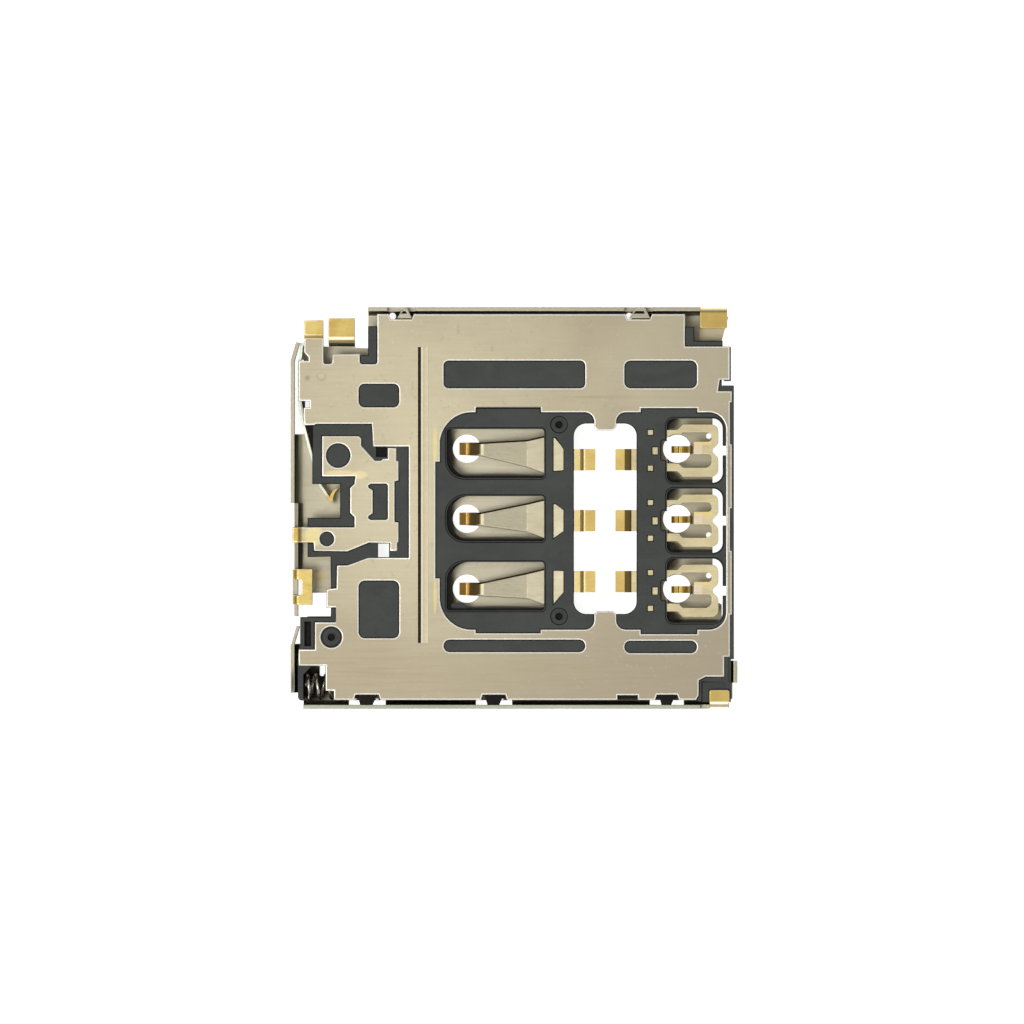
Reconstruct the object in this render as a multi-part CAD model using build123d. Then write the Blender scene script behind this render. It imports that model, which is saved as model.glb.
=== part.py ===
"""Push-push socket for a micro card, built piece by piece.

Millimetres. X runs along the card: the mouth is at +X and the card goes in along -X. Y runs across it:
the spring, the slider and the cam pin lie along the -Y side. Z is the height: the cover's outer face is
z = 0 and the solder tails end in the solder plane on top. The origin is the middle of the outer box's base.
"""
import os
from math import asin, degrees

from build123d import *

# Card that the socket takes, and where it stops
card_length = 15.0
card_width = 12.0
card_thickness = 0.76
card_side_gap = 0.05
card_height_gap = 0.20
card_behind = 1.40
card_overhang = 0.20
travel_to_lock = 5.00
travel_past_lock = 0.35

# Strips of the socket beside the card's path
spring_side_width = 2.10
plain_side_width = 0.46

# Sheet thicknesses, layers and bends
cover_sheet = 0.15
plate_sheet = 0.15
contact_sheet = 0.12
leaf_sheet = 0.10
moulded_layer = 0.12
layer_over_strip = 0.04
solder_standoff = 0.07
cover_bend = 0.20
foot_bend = 0.08
strip_bend = 0.06
part_gap = 0.05
slide_gap = 0.04
moulding_below_plate = 0.03

# Contact grid: rows across the card, two columns along it
row_pitch = 2.54
column_pitch = 7.75
tail_pitch = 2.21
card_end_to_front_column = 2.29
card_edge_to_middle_row = 4.79
tip_clearance_radius = 0.51
tip_width = 0.45
tip_height = 0.42
tail_width = 0.78
contact_press = 0.49

# Slider, spring and cam
slider_height_trim = 0.04
hook_length = 0.66
hook_reach = 1.75
leg_width = 0.54
spring_diameter = 0.98
spring_wire = 0.13
spring_end_pitch = 0.24
spring_turns = 18
spring_seat_width = 0.19
pin_wire = 0.30
pin_swing = 0.40
pin_bend = 0.20
cam_gap = 0.05
pivot_gap = 0.03
cam_end_wall = 0.35
cam_depth = 0.36

# Walls of the cover
wall_height = 1.30
foot_plating_depth = 0.75

# Outer box
socket_length = card_behind + card_length - card_overhang
socket_width = spring_side_width + card_width + plain_side_width
rear = -socket_length / 2
mouth = socket_length / 2
spring_side = -socket_width / 2
plain_side = socket_width / 2

# Levels
floor_top = cover_sheet
slot_roof = floor_top + card_thickness + card_height_gap
plate_low = slot_roof + moulded_layer
plate_top = plate_low + plate_sheet
fill_top = plate_top - moulding_below_plate
solder_plane = plate_top + solder_standoff
strip_low = slot_roof + layer_over_strip
strip_top = strip_low + contact_sheet

# Inner faces of the cover's walls, and the card's path
rear_in = rear + cover_sheet
plain_in = plain_side - cover_sheet
spring_in = spring_side + cover_sheet
card_low = spring_side + spring_side_width
card_high = card_low + card_width
card_locked = rear + card_behind

# Contact rows and columns
middle_row = card_low + card_edge_to_middle_row
rows = [middle_row + row_pitch, middle_row, middle_row - row_pitch]
tails = [middle_row - 0.07 + tail_pitch, middle_row - 0.07, middle_row - 0.07 - tail_pitch]
front_tip = mouth + card_overhang - card_end_to_front_column
rear_tip = front_tip - column_pitch
top_row, bottom_row = rows[0], rows[2]

# Edges of the base plate
plate_rear = rear + 0.29
plate_mouth = mouth - 0.20
plate_plain = plain_side - 0.25
plate_spring = spring_side + 0.32

# Mechanism along the spring side
mechanism_high = card_low - part_gap
seat_face = rear_in + 0.12 + spring_seat_width
spring_y = spring_in + 0.17 + spring_diameter / 2
spring_z = (floor_top + plate_low) / 2
slider_low = floor_top + slide_gap
slider_high = slot_roof - slide_gap
slider_top_y = mechanism_high - 0.02
slider_bottom_y = spring_in + 0.18
travel = travel_to_lock + travel_past_lock
hook_face = card_locked + travel_to_lock
block_face = mouth - 1.32
slider_front = block_face - slide_gap
pivot_x = block_face + 0.52
pivot_y = (slider_top_y + slider_bottom_y) / 2 - 0.04
pin_z = floor_top + 0.06 + pin_wire / 2
cam_half = pin_wire / 2 + cam_gap
cam_floor = pin_z + pin_wire / 2 + 0.06
cam_right = slider_front - 0.24 - cam_half
cam_left = cam_right - travel
slider_rear = cam_left - cam_half - cam_end_wall
pin_length = pivot_x - cam_left
spring_length = slider_rear - seat_face
swing_angle = degrees(asin(pin_swing / pin_length))


def block(x, y, z):
    """Box between two values on each axis."""
    return Pos((x[0] + x[1]) / 2, (y[0] + y[1]) / 2, (z[0] + z[1]) / 2) * Box(x[1] - x[0], y[1] - y[0], z[1] - z[0])


def prism(outline, low, high):
    """Plan outline raised from one level to another."""
    return Pos(0, 0, low) * extrude(outline, high - low, dir=(0, 0, 1))


def plan(*points):
    """Plan outline through a list of corners, facing up whichever way round they run."""
    shape = Polygon(*points, align=None)
    return shape if shape.face().normal_at().Z > 0 else Polygon(*reversed(points), align=None)


def window(x, y, corner=0.0):
    """Plan rectangle between two values on each axis, with round corners."""
    shape = RectangleRounded(x[1] - x[0], y[1] - y[0], corner) if corner else Rectangle(x[1] - x[0], y[1] - y[0])
    return Pos((x[0] + x[1]) / 2, (y[0] + y[1]) / 2) * shape


def folded_along_x(points, start, end, sheet, bend):
    """Sheet folded along a line of (y, z) points, as wide as start to end along X."""
    line = FilletPolyline(*points, radius=bend + sheet / 2)
    return extrude(Plane.YZ.offset(start) * trace(line, line_width=sheet), end - start, dir=(1, 0, 0))


def folded_along_y(points, start, end, sheet, bend):
    """Sheet folded along a line of (x, z) points, as wide as start to end along Y."""
    line = FilletPolyline(*points, radius=bend + sheet / 2)
    return extrude(Plane.XZ.offset(-start) * trace(line, line_width=sheet), end - start, dir=(0, 1, 0))


def raised_along_y(points, start, end):
    """Solid of a closed line of (x, z) points, as wide as start to end along Y."""
    return extrude(Plane.XZ.offset(-start) * Polygon(*points, align=None), end - start, dir=(0, 1, 0))


def corners_near(outline, places, reach=0.02):
    """Corners of an outline that lie at the given places."""
    return [v for v in outline.vertices() if any((v.center() - Vector(x, y)).length < reach for x, y in places)]


# Base plate: outline, windows and the opening around the contacts

tab_x = (rear + 0.49, rear + 1.20)
tab_end = plain_side - 0.47
tab_jog = plain_side - 1.07
detect_x = (rear + 0.79, rear + 4.28)
detect_y = (middle_row - 1.37, middle_row + 2.61)
detect_top = middle_row + 3.43
rear_step_x = rear + 3.14
front_step_x = mouth - 1.90
front_step_y = plain_side - 1.42
mouth_notch_y = plain_side - 2.84
pin_corner_y = spring_side + 1.16
spring_window_x = rear + 1.57
spring_window_y = spring_side + 1.56
block_y = (spring_side + 2.16, spring_side + 3.33)
bead_x = rear + 4.62
bead_rise = 0.035
bead_groove = 0.07


def plate_outline():
    """Outer edge of the base plate, without its tail."""
    return plan(
        (spring_window_x, plate_spring),
        (spring_window_x, plate_spring + 0.33),
        (spring_window_x - 0.30, plate_spring + 0.33),
        (spring_window_x - 0.30, spring_window_y),
        (plate_rear, spring_window_y),
        (plate_rear, block_y[0]),
        (rear + 0.88, block_y[0]),
        (rear + 0.88, spring_side + 3.15),
        (rear + 1.64, spring_side + 3.15),
        (rear + 1.64, spring_side + 3.67),
        (rear + 1.30, spring_side + 3.67),
        (rear + 1.30, spring_side + 4.33),
        (rear + 1.66, spring_side + 4.38),
        (rear + 1.68, spring_side + 5.20),
        (rear + 2.07, spring_side + 5.21),
        (rear + 2.80, spring_side + 5.48),
        (detect_x[1], spring_side + 5.48),
        (detect_x[1], detect_y[1]),
        (rear + 2.99, detect_y[1]),
        (rear + 2.94, detect_top),
        (rear + 0.92, detect_top),
        (rear + 0.90, detect_top - 0.04),
        (rear + 0.49, detect_top - 0.04),
        (rear + 0.47, detect_top + 0.60),
        (rear + 0.69, detect_top + 0.60),
        (rear + 0.69, detect_top + 0.83),
        (plate_rear, detect_top + 0.83),
        (plate_rear, plain_side - 1.95),
        (rear + 0.65, plain_side - 1.95),
        (rear + 0.65, plain_side - 1.82),
        (tab_x[0], plain_side - 1.64),
        (tab_x[0], plain_side - 1.37),
        (tab_x[1], plain_side - 1.37),
        (tab_x[1], plain_side - 2.06),
        (rear + 1.51, plain_side - 2.06),
        (rear + 1.51, plain_side - 1.70),
        (rear + 2.52, plain_side - 1.70),
        (rear + 2.52, plain_side - 2.06),
        (rear_step_x, plain_side - 2.06),
        (rear_step_x, plate_plain),
        (front_step_x, plate_plain),
        (front_step_x, front_step_y),
        (plate_mouth - 0.09, front_step_y),
        (plate_mouth - 0.09, mouth_notch_y + 0.20),
        (plate_mouth - 0.44, mouth_notch_y + 0.20),
        (plate_mouth - 0.50, mouth_notch_y - 0.20),
        (plate_mouth, mouth_notch_y - 0.20),
        (plate_mouth, mouth_notch_y - 0.62),
        (plate_mouth - 0.07, mouth_notch_y - 0.62),
        (plate_mouth - 0.07, mouth_notch_y - 2.12),
        (plate_mouth, mouth_notch_y - 2.12),
        (plate_mouth, mouth_notch_y - 4.46),
        (plate_mouth - 0.07, mouth_notch_y - 4.46),
        (plate_mouth - 0.07, mouth_notch_y - 5.98),
        (plate_mouth, mouth_notch_y - 5.98),
        (plate_mouth, mouth_notch_y - 8.31),
        (plate_mouth - 0.07, mouth_notch_y - 8.31),
        (plate_mouth - 0.07, spring_side + 1.88),
        (mouth - 0.48, spring_side + 1.88),
        (mouth - 0.48, pin_corner_y),
        (mouth - 1.16, pin_corner_y),
        (mouth - 1.40, pin_corner_y - 0.13),
        (mouth - 1.40, plate_spring + 0.18),
        (mouth - 1.50, plate_spring),
    )


opening_high = top_row + 1.31
opening_low = bottom_row - 1.47
opening_front = front_tip + 1.67
opening_rear = rear_tip - 0.94
centre_x = (rear_tip + 3.91, front_tip - 1.57)
centre_y = (bottom_row - 0.91, top_row + 0.91)
tab_between = (centre_x[0] + 0.73, centre_x[1] - 0.73)


def plate_opening():
    """Large opening of the plate that the contact mouldings fill, with the two centre tabs left in it."""
    rear_part = window((opening_rear, tab_between[0] + 0.3), (opening_low, opening_high), 1.15)
    front_part = window((tab_between[1] - 0.3, opening_front), (opening_low, opening_high), 0.62)
    middle = window((rear_tip + 2.0, front_tip - 0.6), (opening_low, opening_high))
    rear_flank = window((opening_rear - 0.16, rear_tip), (bottom_row + 0.39, top_row - 0.48))
    rear_swell = window((rear_tip + 0.36, rear_tip + 2.70), (opening_low - 0.13, opening_high + 0.16))
    front_swell = window((front_tip - 1.41, front_tip + 0.62), (opening_low - 0.16, opening_high + 0.15))
    opening = rear_part + front_part + middle + rear_flank + rear_swell + front_swell
    upper_tab = window(tab_between, (top_row + 0.65, opening_high + 0.01))
    lower_tab = window(tab_between, (opening_low - 0.01, bottom_row - 0.80))
    opening -= upper_tab + lower_tab
    tab_roots = [(x, y) for x in tab_between for y in (opening_low, opening_high)]
    tab_ends = [(x, y) for x in tab_between for y in (top_row + 0.65, bottom_row - 0.80)]
    opening = fillet(corners_near(opening, tab_roots), 0.34)
    return chamfer(corners_near(opening, tab_ends), 0.12)


def plate_windows():
    """Small windows of the plate, filled flush by the moulding."""
    rear_x = (rear + 2.48, rear + 3.93)
    mid_x = (rear_tip - 0.80, rear_tip + 4.31)
    front_x = (front_tip - 2.00, front_tip + 0.61)
    shapes = window(rear_x, (top_row + 1.51, top_row + 2.34), 0.20)
    shapes += window(rear_x, (bottom_row - 1.78, bottom_row + 0.29), 0.22)
    shapes += window(mid_x, (top_row + 2.20, top_row + 3.18), 0.17)
    shapes += window(front_x, (top_row + 2.20, top_row + 3.18), 0.22)
    shapes += window(mid_x, (bottom_row - 2.28, bottom_row - 1.85), 0.21)
    shapes += window(front_x, (bottom_row - 2.32, bottom_row - 1.89), 0.21)
    return shapes


# Gates where the plastic was injected: place, outer radius, pip radius
plate_gate = (rear + 1.48, bottom_row - 1.75)
frame_gates = [(centre_x[0] - 0.54, centre_y[1] - 0.04), (centre_x[0] - 0.54, centre_y[0] - 0.09)]
gate_radius = 0.29
gate_pip_radius = 0.17
plate_gate_radius = 0.38
gate_depth = 0.17

# Latches along the two long edges: span in X
spring_latches = [(rear + 2.11, rear + 3.44), (rear_tip + 0.36, rear_tip + 1.67), (front_tip - 1.08, front_tip + 0.15)]
plain_latches = [(rear + 3.51, rear + 4.51), (front_tip - 2.01, front_tip - 0.97)]
plain_tab_offsets = [0.34, 0.17]
plain_edge_slot = (front_tip - 2.26, front_tip - 1.53)
latch_notch = 0.19


def base_plate():
    """Nickel-silver plate with its windows, stiffening line, tabs and one solder tail."""
    notch_level = plain_side - 2.06
    notch_corners = [(x, notch_level) for x in (tab_x[1], rear + 1.51, rear + 2.52, rear_step_x)]
    outline = fillet(corners_near(plate_outline(), notch_corners), 0.09) - plate_opening() - plate_windows()
    outline -= Pos(*plate_gate) * Circle(plate_gate_radius)
    for x0, x1 in spring_latches:
        outline -= plan(
            (x0 + 0.15, plate_spring - 0.1), (x0 + 0.25, plate_spring + latch_notch),
            (x1 - 0.25, plate_spring + latch_notch), (x1 - 0.15, plate_spring - 0.1),
        )
    outline -= window((plain_edge_slot[0], plain_edge_slot[1]), (plate_spring - 0.1, plate_spring + 0.17))
    for x0, x1 in plain_latches:
        outline -= plan(
            (x0, plate_plain + 0.1), (x0 + 0.12, plate_plain - latch_notch),
            (x1 - 0.12, plate_plain - latch_notch), (x1, plate_plain + 0.1),
        )
    plate = prism(outline, plate_low, plate_top)
    tail_top = solder_plane - plate_sheet / 2
    tail = folded_along_x(
        [(tab_jog - 0.55, plate_low + plate_sheet / 2), (tab_jog - 0.04, plate_low + plate_sheet / 2),
         (tab_jog + 0.06, tail_top), (tab_end, tail_top)],
        tab_x[0], tab_x[1], plate_sheet, foot_bend,
    )
    line_y = (bottom_row - 1.96, top_row + 3.68)
    foot, crest = bead_x, bead_x + 0.11
    bead = raised_along_y([(foot + 0.05, plate_top - 0.03), (crest, plate_top + bead_rise), (crest + 0.25, plate_top),
                           (crest + 0.25, plate_top - 0.03)], *line_y)
    groove = raised_along_y([(foot, solder_plane), (foot, plate_top - bead_groove), (crest, plate_top + bead_rise),
                             (crest, solder_plane)], *line_y)
    return plate + tail + bead - groove


# Contacts

tail_rise = contact_sheet
tail_low = solder_plane - contact_sheet
rear_root_x = rear_tip + 2.83
rear_window_x = (rear_tip - 0.70, rear_root_x)
front_window_x = (front_tip - 0.47, front_tip + 1.55)
# Root of each rear beam: how far it reaches above and below its row
rear_roots = [(0.46, 0.90), (0.71, 0.71), (0.73, 0.58)]
# The strip in the small window behind each root: how far it shows above and below its row
strip_spans = [(0.39, 0.81), (0.52, 0.70), (0.655, 0.545)]


def contact_tail(root_x, foot_x, tail_x, end_x, y):
    """Flat strip that steps up to the solder plane and ends in a solder tail."""
    level = strip_low + contact_sheet / 2
    top = solder_plane - contact_sheet / 2
    points = [(root_x, level), (foot_x, level), (tail_x, top), (end_x, top)]
    return folded_along_y(points, y - tail_width / 2, y + tail_width / 2, contact_sheet, strip_bend / 3)


def beam_profile(points):
    """Folded beam seen along Y: (x, z) points of its middle line, much wider than the beam."""
    return folded_along_y(points, spring_side, plain_side, contact_sheet, strip_bend)


def rear_contact(index):
    """Tapered cantilever: a wide root at the front, a bent tip at the rear, a tail in the centre window."""
    y, tail_y = rows[index], tails[index]
    above, below = rear_roots[index]
    high, low = strip_spans[index]
    half = tip_width / 2
    level = strip_low + contact_sheet / 2
    bend_x = rear_root_x - 0.60
    blade = plan(
        (rear_tip - 0.24, y - half), (rear_tip + 0.53, y - half - 0.04), (bend_x, y - below + 0.22),
        (rear_root_x, y - below), (rear_root_x + 0.34, y - low - 0.05), (rear_root_x + 0.72, tail_y - tail_width / 2),
        (rear_root_x + 1.00, tail_y - tail_width / 2), (rear_root_x + 1.00, tail_y + tail_width / 2),
        (rear_root_x + 0.72, tail_y + tail_width / 2), (rear_root_x + 0.34, y + high + 0.05),
        (rear_root_x, y + above), (bend_x, y + above - 0.14), (rear_tip + 0.53, y + half), (rear_tip - 0.24, y + half),
    )
    folds = beam_profile([
        (rear_root_x + 1.10, level), (bend_x, level), (rear_tip + 0.52, tip_height + 0.36),
        (rear_tip, tip_height), (rear_tip - 0.30, tip_height + 0.26),
    ])
    beam = folds & prism(blade, 0, solder_plane)
    jog_x = centre_x[0] + 0.26
    return beam + contact_tail(rear_root_x + 0.9, jog_x, jog_x + 0.09, tab_between[0] + 0.05, tail_y)


def front_contact(index):
    """Fork-shaped contact: two arms around a tongue that folds back and carries the tip."""
    y, tail_y = rows[index] - 0.07, tails[index]
    half = tip_width / 2
    level = strip_low + contact_sheet / 2
    outer_x = (front_tip - 0.11, front_tip + 1.40)
    inner_x = (front_tip - 0.06, front_tip + 1.15)
    tongue_y = (y + 0.035 - half * 0.76, y + 0.33)
    body = window(outer_x, (y - 0.95, y + 0.95))
    body = chamfer(corners_near(body, [(outer_x[0], y - 0.95), (outer_x[0], y + 0.95)]), 0.22)
    body = fillet(corners_near(body, [(outer_x[1], y - 0.95), (outer_x[1], y + 0.95)]), 0.25)
    body -= plan((outer_x[1] + 0.04, y + 0.29), (outer_x[1] - 0.25, y), (outer_x[1] + 0.04, y - 0.29))
    body = fillet(corners_near(body, [(outer_x[1], y - 0.25), (outer_x[1], y + 0.25)]), 0.24)
    behind = window((inner_x[0], front_tip + 0.50), (y - 0.62, y + 0.66))
    inside = chamfer(corners_near(behind, [(inner_x[0], y - 0.62), (inner_x[0], y + 0.66)]), 0.16)
    for span, round_y, corner in (((tongue_y[1], y + 0.66), y + 0.66, 0.16), ((y - 0.62, tongue_y[0]), y - 0.62, 0.24)):
        opening = window((front_tip + 0.3, inner_x[1]), span)
        opening = fillet(corners_near(opening, [(inner_x[1], round_y)]), corner)
        other = span[0] if round_y == span[1] else span[1]
        inside += fillet(corners_near(opening, [(inner_x[1], other)]), 0.13)
    tongue = window((front_tip + 0.36, outer_x[1] - 0.20), (tongue_y[0], y + 0.035 + half * 0.76))
    tongue += window((front_tip - 0.30, front_tip + 0.40), (y + 0.04 - half * 0.55, y + 0.04 + half * 0.55))
    mouth_cut = window((outer_x[0] - 0.1, inner_x[0] + 0.17), (y - 0.46, y + 0.50))
    root = window((outer_x[0] - 0.40, outer_x[0] + 0.1), (y - 0.745, y + 0.745)) - window(
        (front_window_x[0], outer_x[0] + 0.2), (y - 0.46, y + 0.50))
    stem = plan(
        (front_window_x[0] + 0.02, y - 0.745), (front_window_x[0] + 0.02, y + 0.745),
        (front_window_x[0] - 0.74, y + 0.745), (centre_x[1] + 0.16, tail_y + tail_width / 2),
        (centre_x[1] + 0.16, tail_y - tail_width / 2), (front_window_x[0] - 0.74, y - 0.745),
    )
    clearance = Pos(front_tip - 0.09, rows[index]) * Circle(tip_clearance_radius + 0.03)
    flat = body - inside - mouth_cut + root + stem - clearance
    fork = prism(flat, strip_low, strip_top)
    folds = beam_profile([
        (outer_x[1] - 0.10, level), (front_tip + 0.52, level), (front_tip + 0.36, tip_height + 0.42),
        (front_tip, tip_height), (front_tip - 0.30, tip_height + 0.24),
    ])
    tongue = folds & prism(tongue, 0, solder_plane)
    jog_x = centre_x[1] - 0.21
    return fork + tongue + contact_tail(centre_x[1] + 0.2, jog_x, jog_x - 0.21, tab_between[1] - 0.04, tail_y)


# Card-detect switch

island_edge_y = middle_row - 0.30
detect_tail_y = (middle_row - 0.87, island_edge_y)
leaf_low, leaf_high = floor_top + 0.25, slot_roof - 0.10


def island_outline():
    """Fixed terminal of the switch in plan, an island in the moulding."""
    r, m = rear, middle_row
    return plan(
        (r + 1.14, m + 3.00), (r + 2.48, m + 3.00), (r + 2.57, m + 2.91), (r + 2.57, m + 2.65), (r + 3.06, m + 2.11),
        (r + 3.28, m + 2.11), (r + 3.35, m + 2.18), (r + 3.61, m + 2.18), (r + 3.68, m + 2.13),
        (r + 3.92, m + 2.09), (r + 3.92, m + 1.38), (r + 3.78, m + 1.35), (r + 3.78, m - 0.11),
        (r + 3.92, m - 0.12), (r + 3.92, m - 0.83), (r + 3.85, m - 0.90), (r + 2.86, m - 0.87),
        (r + 2.07, m - 1.19), (r + 0.85, m - 1.17), (r + 0.83, m - 0.87), (r + 0.38, m - 0.87),
        (r + 0.38, m - 0.30), (r + 2.31, m - 0.30), (r + 2.31, m + 0.06), (r + 2.15, m + 0.21),
        (r + 2.15, m + 1.11), (r + 2.31, m + 1.26), (r + 2.34, m + 1.53), (r + 1.14, m + 1.53),
    ) + window((r + 3.52, r + 3.84), (m + 2.10, m + 2.57)) + window((r + 3.60, r + 3.87), (m - 1.17, m - 0.80))


def island_holes():
    """Holes of the island, filled by the moulding."""
    upper = Pos(rear + 1.73, middle_row + 2.29) * Circle(0.435)
    lower = Pos(rear + 1.32, middle_row - 0.73) * Circle(0.255)
    bracket = window((rear + 2.99, rear + 3.52), (middle_row - 0.03, middle_row + 1.26), 0.08)
    hooks = Sketch()
    for edge, side in ((middle_row + 1.26, -1), (middle_row - 0.03, 1)):
        hooks += plan(
            (rear + 3.10, edge), (rear + 2.90, edge), (rear + 2.82, edge + side * 0.06), (rear + 2.84, edge + side * 0.13),
            (rear + 2.97, edge + side * 0.22), (rear + 3.10, edge + side * 0.22),
        )
    return upper + lower + bracket + hooks


def detect_terminal():
    """Fixed side of the switch: island, gold tail, and a finger bent down that the leaf reaches."""
    island = prism(island_outline() - island_holes(), plate_low, plate_top)
    level = plate_low + plate_sheet / 2
    tail = folded_along_y(
        [(rear + 0.60, level), (rear + 0.36, level), (rear + 0.30, solder_plane - plate_sheet / 2),
         (rear + 0.06, solder_plane - plate_sheet / 2)],
        detect_tail_y[0], detect_tail_y[1], plate_sheet, foot_bend / 4,
    )
    finger = folded_along_x(
        [(island_edge_y - 0.50, level), (island_edge_y - 0.10, level), (island_edge_y - 0.10, slot_roof - 0.12),
         (island_edge_y + 0.20, slot_roof - 0.12), (island_edge_y + 0.20, leaf_low + 0.05)],
        rear + 1.04, rear + 1.76, contact_sheet, foot_bend / 4,
    ) - prism(island_holes(), plate_low, solder_plane)
    return island + tail + finger


def detect_spring():
    """Moving side of the switch: a leaf on edge, held between the cover's rear wall and the moulding."""
    hold = rear_in + 0.12 + leaf_sheet / 2
    arm = Polyline(
        (hold + 0.09, plain_side - 1.30), (hold + 0.05, plain_side - 1.78), (hold, plain_side - 2.00),
        (hold, plain_side - 3.44),
        (hold + 0.10, plain_side - 4.09), (rear + 0.82, middle_row + 2.06), (rear + 1.08, middle_row + 1.20),
        (rear + 1.47, middle_row + 0.65),
    )
    leaf = prism(trace(arm, line_width=leaf_sheet), leaf_low, leaf_high)
    curl_start, curl_end = (rear + 1.54, middle_row + 0.54), (rear + 1.76, middle_row + 1.12)
    outer = ThreePointArc(curl_start, (rear + 1.44, middle_row + 0.84), curl_end)
    inner = ThreePointArc(curl_end, (rear + 1.57, middle_row + 0.84), curl_start)
    return leaf + prism(make_face([outer, inner]), leaf_low, leaf_high)


# Housing

mouth_lip = 0.07
window_ledge = 0.14
rib_width = 0.33
corner_step = 0.06
rail_inner = card_high + card_side_gap
rail_outer = plain_in - part_gap
see_in_x = (rear + 0.82, rear + 1.80)
see_in_y = (middle_row + 0.03, middle_row + 1.26)


def detect_moulding():
    """Plan of the moulding around the island of the switch."""
    r, m = rear, middle_row
    shape = plan(
        (r + 0.79, m + 3.43), (r + 2.94, m + 3.43), (r + 2.99, m + 2.61), (detect_x[1], m + 2.61),
        (detect_x[1], spring_side + 5.48), (r + 2.80, spring_side + 5.48), (r + 2.07, spring_side + 5.21),
        (r + 1.68, spring_side + 5.20), (r + 1.66, spring_side + 4.38), (r + 1.47, spring_side + 4.38),
        (r + 1.45, m - 1.37), (r + 0.62, m - 1.39), (r + 0.62, m + 0.03), (r + 0.79, m + 0.03),
    )
    return shape - window((r + 0.5, see_in_x[1]), see_in_y)


def leaf_backing():
    """Plan of the moulding that fills the gap between the leaf and the moulding's rear edge."""
    r, p = rear, plain_side
    return plan(
        (r + 0.40, p - 3.27), (r + 0.51, p - 3.27), (r + 0.51, p - 3.72), (r + 0.68, p - 3.87), (r + 0.68, p - 4.28),
        (r + 0.82, p - 4.28), (r + 0.82, middle_row + 2.36), (r + 0.50, p - 4.09), (r + 0.40, p - 3.44),
    )


def edge_ribs():
    """Plan of the ribs that the moulding shows along the plate's stepped corners and the mouth."""
    plain_rib = window((rear_step_x - rib_width, rear_step_x + 0.02), (plain_side - 2.06, plain_side - 0.69))
    plain_rib += window((rear_step_x - 0.62, rear_step_x), (plain_side - 2.16, plain_side - 1.74))
    front_rib = window((front_step_x - 0.1, front_step_x + rib_width), (front_step_y, plain_side - 0.71))
    front_rib += window((front_step_x, mouth - 0.54), (front_step_y - 0.1, front_step_y + 0.20))
    notch_rib = window((mouth - 0.70, mouth - 0.57), (mouth_notch_y - 0.20, mouth_notch_y + 0.20))
    notch_rib += window((mouth - 0.70, mouth - 0.13), (mouth_notch_y - 0.20, mouth_notch_y))
    lip = window((plate_mouth - 0.08, plate_mouth + mouth_lip), (spring_side + 1.80, mouth_notch_y))
    corner = window((mouth - 0.58, mouth - 0.24), (spring_side + 0.95, spring_side + 1.98))
    corner += window((mouth - 1.45, mouth - 0.24), (pin_corner_y - 0.40, pin_corner_y + 0.05))
    corner += plan(
        (mouth - 1.48, spring_in + 0.10), (mouth - 1.48, plate_spring + 0.03), (mouth - 1.55, plate_spring + 0.12),
        (mouth - 1.46, pin_corner_y - 0.10), (mouth - 1.04, pin_corner_y - 0.10), (mouth - 1.04, spring_in + 0.10),
    )
    return plain_rib + front_rib + notch_rib + lip + corner


def mouth_edge():
    """Plan of the moulding's thin edge that shows beyond the plate above the mouth's notch."""
    return window((plate_mouth - 0.3, plate_mouth - 0.04), (mouth_notch_y + 0.16, front_step_y - 0.02))


def rear_moulding():
    """Plan of the moulding's rear pieces beside the plate: catch block, band and spring seat."""
    shape = window((rear + 0.35, rear + 1.00), block_y)
    shape += window((rear + 0.46, rear + 1.61), (spring_side + 3.05, spring_side + 3.33))
    shape += window((rear + 1.47, rear + 1.74), (spring_side + 3.10, spring_side + 3.67))
    shape += window((rear + 1.47, rear + 1.76), (spring_side + 4.33, spring_side + 4.60))
    seat = window((seat_face - spring_seat_width, seat_face), (spring_in + 0.15, spring_window_y + 0.20))
    seat = fillet(corners_near(seat, [(seat_face - spring_seat_width, spring_in + 0.15)]), 0.14)
    shelf = plan((seat_face - 0.05, spring_window_y + 0.05), (seat_face + 0.36, spring_window_y + 0.05),
                 (seat_face + 0.02, spring_window_y - 0.30), (seat_face - 0.05, spring_window_y - 0.30))
    return shape + seat + shelf


def contact_windows(ledge=0.0):
    """Plan of the openings through the moulding over the contact beams, less a ledge on their rear and lower sides."""
    low_high = [(1.06, 0.71), (0.81, 0.82), (0.78, 0.97)]
    shapes = Sketch()
    x = (rear_window_x[0] + ledge, rear_window_x[1])
    for index, row in enumerate(rows):
        below, above = low_high[index]
        y = (row - below + ledge / 2, row + above)
        opening = window(x, y)
        round_corners = [(x[0], y[0])] if index < 2 else []
        round_corners += [(x[0], y[1])] if index > 0 else []
        sharp_corners = [(side, level) for side in x for level in y if (side, level) not in round_corners]
        opening = fillet(corners_near(opening, round_corners), 0.66)
        shapes += fillet(corners_near(opening, sharp_corners), 0.10)
        middle = row - 0.07
        front_opening = window((front_window_x[0] + ledge / 2, front_window_x[1]), (middle - 1.16, middle + 1.16))
        rear_corners = [(front_window_x[0] + ledge / 2, middle + side * 1.16) for side in (-1, 1)]
        front_corners = [(front_window_x[1], middle + side * 1.16) for side in (-1, 1)]
        front_opening = fillet(corners_near(front_opening, rear_corners), 0.24 + 1.2 * ledge)
        shapes += fillet(corners_near(front_opening, front_corners), 0.36)
        shapes += window((front_window_x[0], front_window_x[0] + 0.2), (middle + 0.30, middle + 0.50))
        shapes += window((front_window_x[0] - 0.18, front_window_x[0] + 0.2), (middle - 0.32, middle + 0.34), 0.05)
        shapes += window((front_window_x[1] - 0.2, front_window_x[1] + 0.16), (middle - 0.17, middle + 0.17), 0.05)
    return shapes


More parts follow.
